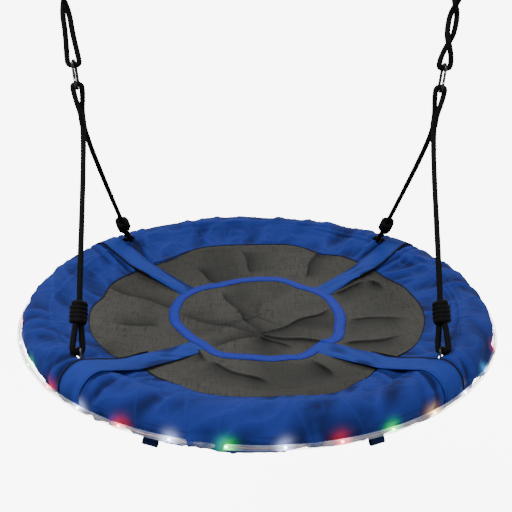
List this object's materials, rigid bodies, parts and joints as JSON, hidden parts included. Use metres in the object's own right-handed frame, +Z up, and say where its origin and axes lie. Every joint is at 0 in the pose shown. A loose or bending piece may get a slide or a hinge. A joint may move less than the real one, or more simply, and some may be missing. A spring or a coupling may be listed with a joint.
{
  "type": "saucer nest swing",
  "caption": "Round nest swing: a dark grey mesh seat in a padded blue rim with a string of lights, hung by two forked ropes on carabiners and slings from two eyes.",
  "frame": {"origin": "midpoint between the two hanging eyes, on the axis the swing turns about", "axes": "+X through both eyes to the right seen from the front, +Z up, -Y to the front"},
  "size_m": [1.0409, 1.0398, 0.7404],
  "materials": {
    "thimble": "galvanised",
    "rope": "black braided cord",
    "whipping": "black wound thread",
    "carabiner": "dark zinc",
    "gate": "dark zinc",
    "pins": "bright zinc",
    "hanger": "black webbing",
    "strap": "royal blue cloth",
    "frame": "galvanised tube",
    "fixings": "zinc",
    "foam": "closed-cell foam",
    "cover": "royal blue cloth",
    "mat": "dark grey mesh",
    "tape": "bright blue tape",
    "loops": "dark blue webbing",
    "light_tube": "clear tube",
    "wire": "copper",
    "bulbs": "clear lens",
    "black_plastic": "black",
    "lead": "black",
    "pouch": "royal blue cloth",
    "cells": "steel can",
    "button": "grey"
  },
  "bodies": {
    "hanging_eyes": {"left_hanging_thimble": "thimble", "right_hanging_thimble": "thimble"},
    "slings": {"left_sling": "rope", "right_sling": "rope"},
    "upper_carabiners": {"left_upper_carabiner": "carabiner", "right_upper_carabiner": "carabiner", "upper_gate_pins": "pins"},
    "left_upper_gate": {"left_upper_gate": "gate"},
    "right_upper_gate": {"right_upper_gate": "gate"},
    "left_rope": {"left_rope": "rope", "left_rope_whipping": "whipping", "front_left_knot": "rope", "back_left_knot": "rope"},
    "right_rope": {"right_rope": "rope", "right_rope_whipping": "whipping", "front_right_knot": "rope", "back_right_knot": "rope"},
    "front_left_gate": {"front_left_gate": "gate"},
    "back_left_gate": {"back_left_gate": "gate"},
    "front_right_gate": {"front_right_gate": "gate"},
    "back_right_gate": {"back_right_gate": "gate"},
    "seat": {"front_left_carabiner": "carabiner", "front_left_hanger": "hanger", "front_left_strap": "strap", "back_left_carabiner": "carabiner", "back_left_hanger": "hanger", "back_left_strap": "strap", "front_right_carabiner": "carabiner", "front_right_hanger": "hanger", "front_right_strap": "strap", "back_right_carabiner": "carabiner", "back_right_hanger": "hanger", "back_right_strap": "strap", "lower_gate_pins": "pins", "frame_tube_1": "frame", "frame_tube_2": "frame", "frame_tube_3": "frame", "frame_tube_4": "frame", "frame_joint_sleeves": "frame", "frame_bolts": "fixings", "frame_nuts": "fixings", "foam_right": "foam", "foam_back": "foam", "foam_left": "foam", "foam_front": "foam", "rim_cover": "cover", "seat_mat": "mat", "centre_ring": "tape", "rim_loops": "loops", "light_tube": "light_tube", "light_wire": "wire", "light_bulbs": "bulbs", "light_plug": "black_plastic", "light_lead": "lead", "battery_case": "black_plastic", "battery_lid": "black_plastic", "battery_pouch": "pouch", "battery_cells": "cells"},
    "battery_button": {"battery_button": "button"}
  },
  "joints": [
    {"name": "swing", "type": "hinge", "parent": "hanging_eyes", "child": "slings", "pos_m": [0, 0, 0], "axis": [1, 0, 0], "range_deg": [-45, 45]},
    {"name": "carabiner_pitch", "type": "hinge", "parent": "slings", "child": "upper_carabiners", "pos_m": [0, 0, -0.15806], "axis": [1, 0, 0], "range_deg": [-30, 30]},
    {"name": "left_rope_sway", "type": "hinge", "parent": "upper_carabiners", "child": "left_rope", "pos_m": [-0.3659, 0, -0.19997], "axis": [0, -1, 0], "range_deg": [-9, 9]},
    {"name": "right_rope_sway", "type": "hinge", "parent": "upper_carabiners", "child": "right_rope", "pos_m": [0.3659, 0, -0.19997], "axis": [0, -1, 0], "range_deg": [-9, 9]},
    {"name": "seat_tilt", "type": "hinge", "parent": "left_rope", "child": "seat", "pos_m": [-0.33779, 0, -0.62887], "axis": [0, -1, 0], "range_deg": [-10, 10]},
    {"name": "left_upper_gate_hinge", "type": "hinge", "parent": "upper_carabiners", "child": "left_upper_gate", "pos_m": [-0.36692, -0.012, -0.1843], "axis": [-0.9979, 0, -0.0654], "range_deg": [0, 22], "stiffness_Nm_per_rad": 0.05, "springref_deg": -20.05},
    {"name": "right_upper_gate_hinge", "type": "hinge", "parent": "upper_carabiners", "child": "right_upper_gate", "pos_m": [0.36692, -0.012, -0.1843], "axis": [-0.9979, 0, 0.0654], "range_deg": [0, 22], "stiffness_Nm_per_rad": 0.05, "springref_deg": -20.05},
    {"name": "front_left_gate_hinge", "type": "hinge", "parent": "seat", "child": "front_left_gate", "pos_m": [-0.32904, -0.31212, -0.63872], "axis": [-0.621, -0.6102, 0.492], "range_deg": [0, 22], "stiffness_Nm_per_rad": 0.05, "springref_deg": -20.05},
    {"name": "back_left_gate_hinge", "type": "hinge", "parent": "seat", "child": "back_left_gate", "pos_m": [-0.32904, 0.31212, -0.63872], "axis": [0.621, -0.6102, -0.492], "range_deg": [0, 22], "stiffness_Nm_per_rad": 0.05, "springref_deg": -20.05},
    {"name": "front_right_gate_hinge", "type": "hinge", "parent": "seat", "child": "front_right_gate", "pos_m": [0.32904, -0.31212, -0.63872], "axis": [-0.621, 0.6102, -0.492], "range_deg": [0, 22], "stiffness_Nm_per_rad": 0.05, "springref_deg": -20.05},
    {"name": "back_right_gate_hinge", "type": "hinge", "parent": "seat", "child": "back_right_gate", "pos_m": [0.32904, 0.31212, -0.63872], "axis": [0.621, 0.6102, 0.492], "range_deg": [0, 22], "stiffness_Nm_per_rad": 0.05, "springref_deg": -20.05},
    {"name": "battery_button_press", "type": "slide", "parent": "seat", "child": "battery_button", "axis": [1, 0, 0], "range_m": [0, 0.0015], "stiffness_N_per_m": 300, "springref_m": -0.002}
  ],
  "couplings": [
    {"joint": "right_rope_sway", "follows": "left_rope_sway", "ratio": 1},
    {"joint": "seat_tilt", "follows": "left_rope_sway", "ratio": -1.0832}
  ]
}
